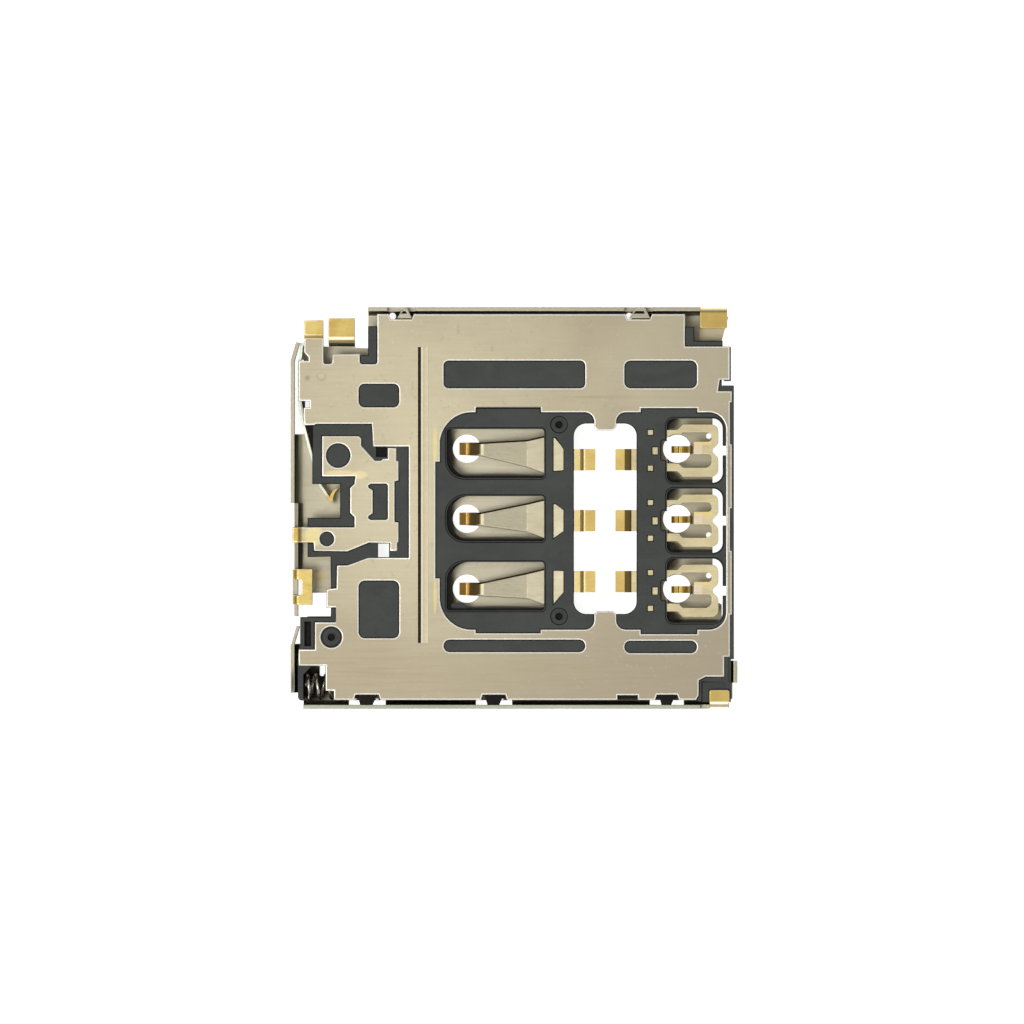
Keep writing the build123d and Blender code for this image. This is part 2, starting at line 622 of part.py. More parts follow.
def strip_windows():
    """Plan of the small openings that reach down to the embedded contact strips."""
    shapes = Sketch()
    for index, row in enumerate(rows):
        high, low = strip_spans[index]
        x = (rear_root_x + 0.34, rear_root_x + 0.70)
        tail_y = tails[index]
        shapes += plan(
            (x[0], row - low), (x[1], tail_y - tail_width / 2 + 0.01),
            (x[1], tail_y + tail_width / 2 - 0.01), (x[0] + 0.08, row + high), (x[0], row + high),
        )
        for dx, dy, length in ((0.60, 0.59, 0.17), (0.43, -0.08, 0.24), (0.60, -0.71, 0.17)):
            shapes += Pos(front_window_x[0] - dx, row + dy) * Rectangle(0.19, length + 0.02)
    return shapes


def latch_nose(x0, x1):
    """Latch of the moulding on the spring side: a wedge whose lower part enters the cover's wall window."""
    nose = plan(
        (x0 + 0.30, plate_spring + latch_notch + 0.05), (x1 - 0.28, plate_spring + latch_notch + 0.05),
        (x1 - 0.50, spring_in - 0.09), (x0 + 0.44, spring_in - 0.09),
    )
    upper = nose & window((x0, x1), (spring_in + 0.02, 0))
    lower = nose & window((x0, x1), (spring_side, slider_bottom_y - 0.04))
    return prism(upper, slot_roof, fill_top - 0.02) + prism(lower, slot_roof - 0.25, slot_roof + 0.07)


def spring_slot():
    """Plan of the slot in the thin layer that gives the coil its room."""
    half = spring_diameter / 2 - 0.16
    return window((seat_face, slider_rear + 0.2), (spring_y - half, spring_y + half))


def pin_block():
    """Block at the mouth that holds the pin's fixed end and stops the slider."""
    body = block((block_face, mouth - 0.24), (spring_in + 0.10, card_low - 0.25), (floor_top + 0.10, plate_low + 0.02))
    channel = block((block_face - 0.1, pivot_x + pin_wire), (pivot_y - 0.32, pivot_y + 0.32), (0, cam_floor))
    hole = Pos(pivot_x, pivot_y, 0) * Cylinder(pin_wire / 2 + pivot_gap, 2 * slot_roof)
    return body - channel - (hole & block((mouth - 3, mouth), (spring_side, plain_side), (0, slot_roof + 0.02)))


def housing(metal):
    """Black moulding, cast around the plate, the contacts and the switch's island."""
    layer = offset(plate_outline() + detect_moulding() + edge_ribs() + rear_moulding(), -part_gap)
    layer -= spring_slot()
    body = prism(layer + mouth_edge(), slot_roof, plate_low)
    flush = plate_opening() + plate_windows() + Pos(*plate_gate) * Circle(plate_gate_radius)
    flush += detect_moulding() + edge_ribs() + rear_moulding()
    body += prism(flush, plate_low, fill_top)
    body += block((rear_step_x + 0.1, front_step_x - 0.1), (rail_inner, rail_outer), (floor_top + 0.10, plate_low))
    hold = rear_in + 0.12 + leaf_sheet
    body += block((hold, hold + 0.38), (plain_side - 3.30, plain_side - 2.06), (floor_top + 0.02, plate_low))
    body += prism(leaf_backing(), floor_top + 0.10, plate_low - 0.02)
    seat = window((seat_face - spring_seat_width, seat_face), (spring_in + 0.15, slider_top_y - leg_width - part_gap))
    seat = fillet(corners_near(seat, [(seat_face - spring_seat_width, spring_in + 0.15)]), 0.14)
    body += prism(seat, floor_top + 0.10, fill_top)
    body += pin_block()
    for x0, x1 in spring_latches:
        body += latch_nose(x0, x1)
    for x0, x1 in plain_latches:
        body -= block((x0 - 0.1, x1 + 0.1), (rail_inner - 0.05, plain_side), (0, solder_plane))
    openings = contact_windows()
    body -= prism(contact_windows(window_ledge), 0, solder_plane) + prism(openings, slot_roof + 0.05, solder_plane)
    body -= prism(offset(openings, 0.035), fill_top - 0.035, solder_plane)
    body -= prism(window(centre_x, centre_y, 0.45), 0, solder_plane)
    body -= prism(strip_windows(), strip_top, solder_plane)
    pips = [(plate_gate, plate_gate_radius - 0.05), (frame_gates[0], gate_radius), (frame_gates[1], gate_radius)]
    for (x, y), radius in pips:
        ring = Circle(radius) - Circle(gate_pip_radius)
        body -= prism(Pos(x, y) * ring, fill_top - gate_depth / 3, solder_plane)
        body -= prism(Pos(x, y) * Circle(gate_pip_radius - 0.03), fill_top - gate_depth, solder_plane)
    body -= block((rear + 0.53, rear + 0.72), (block_y[0] + 0.14, block_y[1] - 0.19), (slot_roof + 0.05, solder_plane))
    body -= block((mouth - 1.28, mouth - 0.45), (spring_side, pin_corner_y - 0.19), (fill_top - corner_step, solder_plane))
    body -= block((mouth - 0.33, mouth), (pin_corner_y - 0.19, spring_side + 1.86), (fill_top - corner_step, solder_plane))
    body -= block((rear + 3.17, rear + 3.57), (spring_side + 5.50, middle_row - 0.90), (0, solder_plane))
    body -= block((rear + 3.10, rear + 3.50), (middle_row + 2.24, middle_row + 2.60), (plate_low, solder_plane))
    for piece in metal:
        body -= piece
    return body


# Cover

cover_front = mouth - 0.56
finger_recess = 0.33
cover_corner_x = mouth - 0.32
bend_reach = cover_sheet + cover_bend + 0.02
wall_set_back = 0.13
foot_set_back = 0.07
rear_corner_y = plain_side - 1.28


def cover_wall_x(side, start, end, top):
    """Side wall along X, with its bend into the floor."""
    inward = -1 if side > 0 else 1
    middle = side + inward * cover_sheet / 2
    half = cover_sheet / 2
    line = [(side + inward * bend_reach, half), (middle, half), (middle, top)]
    return folded_along_x(line, start, end, cover_sheet, cover_bend)


def cover_foot_x(side, start, end, depth):
    """Piece of side wall along X whose top folds inwards as a solder foot."""
    inward = -1 if side > 0 else 1
    middle = side + inward * cover_sheet / 2
    half = cover_sheet / 2
    top = solder_plane - half
    upper = folded_along_x([(middle, 0.8), (middle, top), (side + inward * depth, top)], start, end, cover_sheet, foot_bend)
    end_y = side + inward * depth
    shape = window((start, end), sorted((side, end_y)))
    shape = fillet(corners_near(shape, [(start, end_y), (end, end_y)]), 0.08)
    return cover_wall_x(side, start, end, 0.9) + (upper & prism(shape, 0, solder_plane))


def rear_wall(start, end, top, set_back=0.0):
    """Piece of the rear wall along Y, with its bend into the floor."""
    middle, half = rear + set_back + cover_sheet / 2, cover_sheet / 2
    line = [(rear + set_back + bend_reach, half), (middle, half), (middle, top)]
    return folded_along_y(line, start, end, cover_sheet, cover_bend)


def cover_floor():
    """Plan of the cover's floor, with its openings."""
    inset = cover_sheet + cover_bend
    outline = plan(
        (rear + inset, spring_side + 0.58), (rear + inset + 0.11, spring_side + inset),
        (mouth - 0.17, spring_side + inset), (mouth - 0.17, spring_side + 0.94), (mouth - inset, spring_side + 0.94),
        (mouth - inset, spring_side + 1.74), (cover_front, spring_side + 1.88),
        (cover_front, bottom_row - 0.57), (cover_front - finger_recess, bottom_row - 0.40),
        (cover_front - finger_recess, top_row + 1.58), (cover_front, top_row + 1.75),
        (cover_front, front_step_y + 0.20), (cover_corner_x, plain_side - inset),
        (rear_step_x - 0.33, plain_side - inset), (rear_step_x - 0.33, rear_corner_y - inset + cover_sheet),
        (rear + inset, rear_corner_y - 0.1),
    )
    for row in rows:
        outline -= Pos(rear_tip + 0.03, row) * Circle(tip_clearance_radius)
        outline -= Pos(front_tip - 0.09, row) * Circle(tip_clearance_radius)
        outline -= window((front_window_x[0], front_window_x[0] + 0.3), (row + 0.20, row + 0.43))
    outline -= window((centre_x[0] - 0.15, centre_x[1] + 0.15), (centre_y[0] - 0.15, centre_y[1] + 0.15), 0.5)
    outline -= window((rear + 0.15, rear + 1.45), (spring_side + 3.35, spring_side + 4.20))
    outline -= window((rear + 1.05, rear + 1.25), (spring_side + 1.18, spring_side + 1.60), 0.06)
    outline -= window((rear + 3.17, rear + 3.57), (spring_side + 5.46, spring_side + 6.05), 0.05)
    for y in (top_row + 0.46, middle_row - 0.59, bottom_row + 0.48):
        outline -= Pos(front_tip + 1.06, y) * Circle(0.10)
    outline -= window((rear + 0.52, rear + 0.76), (detect_top + 0.58, detect_top + 0.85), 0.05)
    return outline


def pin_leaf():
    """Leaf of the cover that presses the cam pin into its groove."""
    half = cover_sheet / 2
    lift = pin_z - pin_wire / 2 - 0.01 - half
    tip = pivot_x - 3.00
    slot = block((tip - 0.15, pivot_x - 0.40), (pivot_y - 0.45, pivot_y + 0.45), (-0.1, floor_top + 0.1))
    leaf = folded_along_y([(pivot_x - 0.30, half), (pivot_x - 0.90, half), (tip + 0.5, lift), (tip, lift)],
                          pivot_y - 0.30, pivot_y + 0.30, cover_sheet, cover_bend)
    return slot, leaf


def inward_tab(x0, x1, offset_x):
    """Plan of the tab that the plain side's wall turns inwards over the plate's notch."""
    tab = plan(
        (x0 + offset_x, plate_plain - 0.16), (x1 - 0.10, plate_plain - 0.16),
        (x1 - 0.28, plain_side - 0.04), (x0 + offset_x + 0.22, plain_side - 0.04),
    )
    hole = plan(
        (x0 + offset_x + 0.18, plate_plain + 0.02), (x1 - 0.30, plate_plain + 0.02),
        (x1 - 0.36, plain_in + 0.04), (x0 + offset_x + 0.26, plain_in + 0.04),
    )
    return tab - hole


def cover():
    """Stainless shell: floor, walls, latch windows, lances, feet and pin leaf."""
    shell = prism(cover_floor(), 0, cover_sheet)
    shell += cover_wall_x(plain_side, rear_step_x - 0.33, front_step_x + 0.54, wall_height)
    shell += cover_wall_x(spring_side, seat_face, mouth - 1.35, wall_height)
    shell += cover_wall_x(spring_side, mouth - 1.40, mouth - 0.97, wall_height - 0.30)
    shell += cover_foot_x(plain_side, front_step_x + 0.54, mouth - 0.37, foot_plating_depth + 0.03)
    shell += cover_foot_x(spring_side, mouth - 1.02, mouth - 0.30, foot_plating_depth - 0.06)
    half = cover_sheet / 2
    top = solder_plane - half
    foot_wall = rear_corner_y
    shell += folded_along_x([(foot_wall - 0.8, half), (foot_wall, half), (foot_wall, top), (plain_side - 0.40, top)],
                            rear + 1.38, rear + 2.33, cover_sheet, foot_bend)
    shell += rear_wall(middle_row + 0.57, plain_side - 1.93, wall_height)
    shell += rear_wall(spring_side + 3.35, middle_row + 0.57, 1.0, wall_set_back)
    shell += rear_wall(spring_side + 0.58, spring_side + 2.35, wall_height)
    flare = Polyline((rear + half, plain_side - 1.96), (rear + 0.27, rear_corner_y))
    shell += prism(trace(flare, line_width=cover_sheet), 0.4, wall_height)
    catch = Polyline((rear + half, spring_side + 2.30), (rear + 0.28, block_y[1] - 0.33))
    shell += prism(trace(catch, line_width=cover_sheet * 0.8), 0.4, wall_height)
    foot_y = (spring_side + 3.77, spring_side + 5.07)
    middle = rear + foot_set_back + half
    shell += rear_wall(foot_y[0], foot_y[1], 0.9, foot_set_back)
    foot = folded_along_y([(middle, 0.8), (middle, top), (rear + 0.80, top)], foot_y[0], foot_y[1], cover_sheet, foot_bend)
    notch_y = (foot_y[0] + 0.35, foot_y[0] + 0.92)
    notch = window((rear - 0.1, rear + 0.42), notch_y)
    notch = fillet(corners_near(notch, [(rear + 0.42, notch_y[0]), (rear + 0.42, notch_y[1])]), 0.12)
    shell += foot - prism(notch, 1.0, 2.0)
    behind_wall = rear + foot_set_back + cover_sheet
    shell -= block((behind_wall, rear + 0.42), notch_y, (-0.1, 0.6))
    shell -= block((behind_wall + 0.06, rear + 0.60), (spring_side + 3.30, foot_y[0]), (-0.1, 0.6))
    mouth_tab = folded_along_y([(mouth - 0.8, half), (mouth - half, half), (mouth - half, wall_height - 0.1)],
                               spring_side + 0.94, spring_side + 1.74, cover_sheet, cover_bend / 2)
    shell += mouth_tab
    shell -= block((rear + cover_sheet, rear + 0.47), (detect_top - 0.36, plain_side - 1.90), (-0.1, 0.36))
    for x0, x1 in spring_latches:
        shell -= block((x0, x1), (spring_side - 0.1, spring_in + 0.15), (-0.1, slot_roof + 0.10))
    for (x0, x1), offset_x in zip(plain_latches, plain_tab_offsets):
        shell -= block((x0, x1), (plain_in - 0.02, plain_side + 0.1), (0.85, wall_height + 0.1))
        shell += prism(inward_tab(x0, x1, offset_x), wall_height - 0.14, wall_height - 0.02)
        shell += block((x0 + offset_x + 0.22, x1 - 0.28), (plain_in, plain_side), (0.80, wall_height - 0.02))
        shell -= Pos(x0 + 0.18, plate_plain - 0.07, 0) * Cylinder(0.125, 0.8)
    slot, leaf = pin_leaf()
    return shell - slot + leaf


# Mechanism

def cam_groove():
    """Heart-shaped groove: way in, lock notch and way back, as the pin's end sees it from the slider."""
    home = (cam_left, pivot_y)
    deep_in = (cam_right, pivot_y - pin_swing)
    deep_back = (cam_right, pivot_y + pin_swing - 0.05)
    ways = Sketch()
    for start, end in ((home, deep_in), (deep_in, deep_back), (deep_back, home)):
        ways += trace(Line(start, end), line_width=2 * cam_half)
    for place in (home, deep_in, deep_back):
        ways += Pos(*place) * Circle(cam_half)
    lock_x = cam_right - travel_past_lock - cam_half
    notch = plan((cam_right, pivot_y + 0.20), (lock_x, pivot_y - 0.03), (cam_right, pivot_y - 0.22))
    return ways + notch


def slider():
    """Moulded slider: body with the cam, leg beside the spring, hook that carries the card's corner."""
    body = block((slider_rear, slider_front), (slider_bottom_y, slider_top_y), (slider_low, slider_high))
    leg_y = (slider_top_y - leg_width, slider_top_y)
    body += block((hook_face - hook_length, slider_rear + 0.1), leg_y, (slider_low, slider_high))
    hook = window((hook_face - hook_length, hook_face), (slider_top_y - leg_width, card_low + hook_reach))
    hook = fillet(corners_near(hook, [(hook_face, card_low + hook_reach), (hook_face - hook_length, card_low + hook_reach)]), 0.20)
    body += prism(hook, slider_low, slider_high)
    pocket_y = (pivot_y - pin_swing - cam_half, pivot_y + pin_swing + cam_half)
    body -= block((cam_left - cam_half, slider_front + 0.1), pocket_y, (slider_low - 0.1, cam_floor))
    body -= prism(cam_groove(), cam_floor - 0.01, cam_floor + cam_depth)
    peg = Pos(slider_rear - 0.28, spring_y, spring_z) * Rot(0, 90, 0) * Cylinder(0.26, 0.60)
    return body + peg


def cam_pin():
    """Bent wire: its fixed end turns in the pin block, its other end follows the groove."""
    tip_top = cam_floor + cam_depth - slide_gap
    path = FilletPolyline(
        (cam_left, pivot_y, tip_top), (cam_left, pivot_y, pin_z), (pivot_x, pivot_y, pin_z),
        (pivot_x, pivot_y, slot_roof - 0.04), radius=pin_bend,
    )
    start = Plane(origin=path @ 0, z_dir=path % 0)
    return sweep(start * Circle(pin_wire / 2), path=path)


def eject_spring():
    """Coil spring between the spring seat and the slider, with a closer turn at each end."""
    coil_radius = (spring_diameter - spring_wire) / 2
    room = spring_length - spring_wire - 0.02
    open_pitch = (room - 2 * spring_end_pitch) / spring_turns
    first = Helix(pitch=spring_end_pitch, height=spring_end_pitch, radius=coil_radius)
    middle = Helix(pitch=open_pitch, height=open_pitch * spring_turns, radius=coil_radius)
    path = Wire([
        first,
        Pos(0, 0, spring_end_pitch) * middle,
        Pos(0, 0, spring_end_pitch + open_pitch * spring_turns) * first,
    ])
    start = Plane(origin=path @ 0, z_dir=path % 0)
    coil = sweep(start * Circle(spring_wire / 2), path=path, is_frenet=True)
    return Pos(seat_face + spring_wire / 2 + 0.01, spring_y, spring_z) * Rot(0, 90, 0) * coil


def build():
    """Every piece of the socket by its node's name."""
    pieces = {"base_plate": base_plate(), "detect_terminal": detect_terminal()}
    for index, number in enumerate(("1", "2", "3")):
        pieces["contact_c" + number] = rear_contact(index)
    for index, number in enumerate(("5", "6", "7")):
        pieces["contact_c" + number] = front_contact(index)
    pieces["housing"] = housing(list(pieces.values()))
    pieces["cover"] = cover()
    pieces["detect_spring"] = detect_spring()
    pieces["slider"] = slider()
    pieces["cam_pin"] = cam_pin()
    pieces["eject_spring"] = eject_spring()
    return pieces


os.makedirs("parts", exist_ok=True)
for name, piece in build().items():
    export_step(piece, f"parts/{name}.step")
print(f"box {socket_length:.2f} x {socket_width:.2f} x {solder_plane:.2f}")
print(f"slide travel {travel:.2f}, pin swing {swing_angle:.3f} deg, pin length {pin_length:.2f}")
print(f"spring room {spring_length:.2f}, solid length {(spring_turns + 2) * spring_wire:.2f}")
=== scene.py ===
"""Looks of a push-push card socket that lies on its cover, seen from straight above on its solder side.

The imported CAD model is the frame: 1 unit is 1 m, X runs out of the card mouth, Y across the card away
from the spring side, Z out of the solder side. Pieces are shaped on a bench in millimetres and put into
the frame at the end.
"""
from math import radians

import bmesh
import bpy
from mathutils import Matrix, Vector


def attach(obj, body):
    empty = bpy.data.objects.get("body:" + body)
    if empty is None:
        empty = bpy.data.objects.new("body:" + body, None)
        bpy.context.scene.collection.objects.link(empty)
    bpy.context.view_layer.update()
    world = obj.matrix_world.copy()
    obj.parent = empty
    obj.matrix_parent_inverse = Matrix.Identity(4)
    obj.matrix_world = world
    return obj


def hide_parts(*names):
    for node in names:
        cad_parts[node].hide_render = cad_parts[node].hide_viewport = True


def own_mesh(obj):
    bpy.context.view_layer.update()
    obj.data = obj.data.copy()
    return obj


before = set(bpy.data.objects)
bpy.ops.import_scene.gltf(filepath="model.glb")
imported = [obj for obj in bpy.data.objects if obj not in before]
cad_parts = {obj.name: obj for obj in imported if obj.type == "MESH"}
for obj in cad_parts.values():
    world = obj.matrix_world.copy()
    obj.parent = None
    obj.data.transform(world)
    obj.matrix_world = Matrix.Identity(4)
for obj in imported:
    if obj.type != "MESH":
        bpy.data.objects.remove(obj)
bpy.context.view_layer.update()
MM = 0.001

# Places in the plan, in millimetres, that several pieces and finishes share
REAR, PLAIN_SIDE = -8.10, 7.28
REAR_TIP, FRONT_TIP = -1.74, 6.01
ROWS = [2.15, -0.39, -2.93]
PLATE_TOP = 1.38
CENTRE_X = (2.17, 4.44)
# Further out, and higher, than any point of the part
FAR, ABOVE = 9, 2
# Faces across a rounded edge
EDGE_SEGMENTS = 2


def linear(code):
    """Linear colour of an sRGB hex value."""
    parts = [int(code[i:i + 2], 16) / 255 for i in (1, 3, 5)]
    return [c / 12.92 if c <= 0.04045 else ((c + 0.055) / 1.055) ** 2.4 for c in parts] + [1.0]


# Bench: copies of CAD pieces, shaping and placing


def only(piece):
    """Deselects everything and makes one piece the active one."""
    bpy.ops.object.select_all(action="DESELECT")
    piece.select_set(True)
    bpy.context.view_layer.objects.active = piece


def on_bench(node, name, merge=0.0004):
    """Copy of a CAD piece in millimetres, its loose triangles merged and its flat faces made whole."""
    piece = bpy.data.objects.new(name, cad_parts[node].data.copy())
    bpy.context.scene.collection.objects.link(piece)
    piece.data.materials.clear()
    piece.data.transform(Matrix.Scale(1 / MM, 4))
    only(piece)
    bpy.ops.object.mode_set(mode="EDIT")
    bpy.ops.mesh.customdata_custom_splitnormals_clear()
    bpy.ops.mesh.select_all(action="SELECT")
    bpy.ops.mesh.remove_doubles(threshold=merge)
    bpy.ops.mesh.dissolve_limited(angle_limit=radians(0.4))
    bpy.ops.mesh.select_all(action="DESELECT")
    bpy.ops.object.mode_set(mode="OBJECT")
    return piece


def finish_with(piece, *finishes):
    """Gives a piece its material slots in order."""
    for finish in finishes:
        piece.data.materials.append(finish)


def inside(point, low, high):
    """Whether a point lies in a box."""
    return all(low[i] <= point[i] <= high[i] for i in range(3))


def round_edges(piece, width, rim_slot=0, lowest=0.0, left_sharp=()):
    """Rounds the upper outward edges above a height, apart from those in the boxes of left_sharp."""
    shape = bmesh.new()
    shape.from_mesh(piece.data)
    weight = shape.edges.layers.float.new("bevel_weight_edge")
    for edge in shape.edges:
        middle = (edge.verts[0].co + edge.verts[1].co) / 2
        bent = edge.is_manifold and edge.is_convex and edge.calc_face_angle() > radians(38)
        bent = bent and middle.z > lowest and max(face.normal.z for face in edge.link_faces) > 0.35
        edge[weight] = float(bent and not any(inside(middle, low, high) for low, high in left_sharp))
    shape.to_mesh(piece.data)
    shape.free()
    only(piece)
    rim = piece.modifiers.new("rim", "BEVEL")
    rim.width = width
    rim.segments = EDGE_SEGMENTS
    rim.limit_method = "WEIGHT"
    rim.use_clamp_overlap = False
    rim.material = rim_slot
    bpy.ops.object.modifier_apply(modifier="rim")


def paint(piece, finish_slots, low, high, facing=None):
    """Moves the faces whose middle lies in a box, and that face one way, from one finish to another."""
    for face in piece.data.polygons:
        turned = facing is None or face.normal.dot(Vector(facing)) > 0.5
        if turned and inside(face.center, low, high):
            face.material_index = finish_slots.get(face.material_index, face.material_index)


def place(piece, body, node):
    """Puts a finished piece into the frame: smooth shading, metres, body and the node it replaces."""
    only(piece)
    bpy.ops.object.shade_smooth_by_angle(angle=radians(36))
    facing = piece.modifiers.new("facing", "WEIGHTED_NORMAL")
    facing.keep_sharp = True
    facing.weight = 100
    bpy.ops.object.modifier_apply(modifier="facing")
    piece.data.transform(Matrix.Scale(MM, 4))
    piece.data.update()
    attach(piece, body)
    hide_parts(node)


# Finishes


def add(tree, kind, props=None, values=None, links=None):
    """Adds a shader node with its settings, input values and links."""
    node = tree.nodes.new(kind)
    for key, value in (props or {}).items():
        setattr(node, key, value)
    for key, value in (values or {}).items():
        node.inputs[key].default_value = value
    for key, socket in (links or {}).items():
        tree.links.new(socket, node.inputs[key])
    return node


def new_finish(name):
    """Empty material, its tree, its Principled shader and its Object coordinates in millimetres."""
    finish = bpy.data.materials.new(name)
    finish.use_nodes = True
    tree = finish.node_tree
    shader = tree.nodes["Principled BSDF"]
    where = add(tree, "ShaderNodeTexCoord")
    scaled = add(tree, "ShaderNodeVectorMath", {"operation": "SCALE"}, {"Scale": 1 / MM},
                 {0: where.outputs["Object"]})
    return finish, tree, shader, scaled.outputs[0]


def mixed(tree, share, one, other):
    """Colour between two colours or sockets."""
    node = add(tree, "ShaderNodeMix", {"data_type": "RGBA"})
    for key, value in ((0, share), (6, one), (7, other)):
        if isinstance(value, bpy.types.NodeSocket):
            tree.links.new(value, node.inputs[key])
        else:
            node.inputs[key].default_value = value
    return node.outputs[2]


def noise(tree, where, scale, detail, roughness=0.5, distortion=0.0):
    """Value of a noise at a scale in features per millimetre: one number, or three for a stretched grain."""
    if not isinstance(scale, (int, float)):
        stretched = add(tree, "ShaderNodeVectorMath", {"operation": "MULTIPLY"}, {1: scale}, {0: where})
        where, scale = stretched.outputs[0], 1.0
    values = {"Scale": scale, "Detail": detail, "Roughness": roughness, "Distortion": distortion}
    return add(tree, "ShaderNodeTexNoise", None, values, {"Vector": where}).outputs[0]


def ranged(tree, value, low, high, to_low=0.0, to_high=1.0):
    """Value mapped smoothly from one range to another."""
    values = {1: low, 2: high, 3: to_low, 4: to_high}
    node = add(tree, "ShaderNodeMapRange", {"interpolation_type": "SMOOTHSTEP"}, values, {0: value})
    return node.outputs[0]


def times(tree, one, other):
    """Product of two values."""
    node = add(tree, "ShaderNodeMath", {"operation": "MULTIPLY"}, None, {0: one})
    if isinstance(other, bpy.types.NodeSocket):
        tree.links.new(other, node.inputs[1])
    else:
        node.inputs[1].default_value = other
    return node.outputs[0]


def distance(tree, where, centre, scale):
    """Distance from a place in the plan, scaled along X and Y."""
    middle = (centre[0], centre[1], 0)
    moved = add(tree, "ShaderNodeVectorMath", {"operation": "SUBTRACT"}, {1: middle}, {0: where})
    sized = add(tree, "ShaderNodeVectorMath", {"operation": "MULTIPLY"}, {1: scale}, {0: moved.outputs[0]})
    far = add(tree, "ShaderNodeVectorMath", {"operation": "LENGTH"}, None, {0: sized.outputs[0]})
    return far.outputs["Value"]


def spot(tree, where, centre, radii, soft=0.6):
    """Share that falls from 1 inside an oval at a place in the plan to 0 outside it."""
    away = distance(tree, where, centre, (1 / radii[0], 1 / radii[1], 0))
    return ranged(tree, away, 1 + soft / 2, 1 - soft / 2)


def axis(tree, where, letter):
    """One coordinate of a place."""
    return add(tree, "ShaderNodeSeparateXYZ", None, None, {0: where}).outputs[letter]


def patch(tree, where, x, y, soft=0.03):
    """Share that is 1 inside a rectangle of the plan and falls to 0 over a soft edge."""
    share = 1.0
    for letter, span in (("X", x), ("Y", y)):
        if span:
            here = axis(tree, where, letter)
            rise = ranged(tree, here, span[0] - soft, span[0] + soft)
            fall = ranged(tree, here, span[1] + soft, span[1] - soft)
            share = times(tree, times(tree, rise, fall), share)
    return share


def painted_falloff(tree, where, centre, reach):
    """Share of painted shade, which grows from 0 near a place in the plan to 1 at the far corners."""
    return ranged(tree, distance(tree, where, centre, (1, 1, 0)), 0.15 * reach, reach)


def stains_and_painted_light(tree, where, tone, marks=(), shades=()):
    """Colour with marks and bands laid over it: stains, painted light and painted shade.

    A mark is an oval: centre, radii, colour, strength. A band is a rectangle: span along X, span along Y or
    None for all of it, softness of its edge, colour, strength.
    """
    for centre, radii, stain_and_shade_colour, strength in marks:
        tone = mixed(tree, times(tree, spot(tree, where, centre, radii), strength), tone, linear(stain_and_shade_colour))
    for x, y, soft, stain_and_shade_colour, strength in shades:
        tone = mixed(tree, times(tree, patch(tree, where, x, y, soft), strength), tone, linear(stain_and_shade_colour))
    return tone


def rough_surface(tree, shader, height, strength, depth):
    """Bump of a depth in millimetres on a shader."""
    bump = add(tree, "ShaderNodeBump", None, {"Strength": strength, "Distance": depth * MM},
               {"Height": height})
    tree.links.new(bump.outputs[0], shader.inputs["Normal"])


def rolled_sheet(name, colour, dull, pale, roughness, grain=0.35, scuffs=0.5, marks=(), shades=()):
    """Rolled metal sheet: painted shade that grows away from a lit middle, scuffs from handling, fine lines
    along the rolling.

    Real rolling lines are a few thousandths of a millimetre wide. They are drawn 0.07 mm wide, so that they
    show. Clouds are 3 mm across, scuffs about 0.5 mm, specks and dents from 0.1 to 0.8 mm.
    """
    finish, tree, shader, where = new_finish(name)
    broad = noise(tree, where, 0.30, 3)
    # Painted shade: the tone falls towards the dull colour away from the lit middle
    tone = mixed(tree, painted_falloff(tree, where, (-2.2, 1.9), 10.5), linear(colour), linear(dull))
    tone = mixed(tree, ranged(tree, broad, 0.42, 0.70, 0.0, 0.35), tone, linear(dull))
    scuff = ranged(tree, noise(tree, where, (2.6, 1.5, 2.0), 4, 0.62, 1.8), 0.60, 0.70)
    tone = mixed(tree, times(tree, scuff, scuffs), tone, linear(dull))
    speck = ranged(tree, noise(tree, where, 9.0, 2), 0.64, 0.78)
    tone = mixed(tree, times(tree, speck, 0.22), tone, linear(pale))
    tone = stains_and_painted_light(tree, where, tone, marks, shades)
    lines = noise(tree, where, (0.5, 14.0, 14.0), 3, 0.6)
    tree.links.new(tone, shader.inputs["Base Color"])
    rough = ranged(tree, lines, 0.25, 0.75, roughness - 0.03, roughness + 0.05)
    tree.links.new(rough, shader.inputs["Roughness"])
    dents = add(tree, "ShaderNodeBump", None, {"Strength": grain * 0.35, "Distance": 0.02 * MM},
                {"Height": noise(tree, where, 1.3, 2)})
    bump = add(tree, "ShaderNodeBump", None, {"Strength": grain, "Distance": 0.003 * MM},
               {"Height": lines, "Normal": dents.outputs[0]})
    tree.links.new(bump.outputs[0], shader.inputs["Normal"])
    shader.inputs["Metallic"].default_value = 1.0
    return finish


def cut_edge(name, colour, shade, roughness, metallic=0.35, shades=()):
    """Sheared and rolled-over edge of a sheet, with drag marks 0.15 mm apart, in the colours given; most
    callers paint highlight, light and shade with them.
    """
    finish, tree, shader, where = new_finish(name)
    marks = ranged(tree, noise(tree, where, 7.0, 3, 0.6), 0.35, 0.75)
    tone = mixed(tree, marks, linear(shade), linear(colour))
    tree.links.new(stains_and_painted_light(tree, where, tone, shades=shades), shader.inputs["Base Color"])
    rough_surface(tree, shader, marks, 0.2, 0.004)
    shader.inputs["Metallic"].default_value = metallic
    shader.inputs["Roughness"].default_value = roughness
    return finish


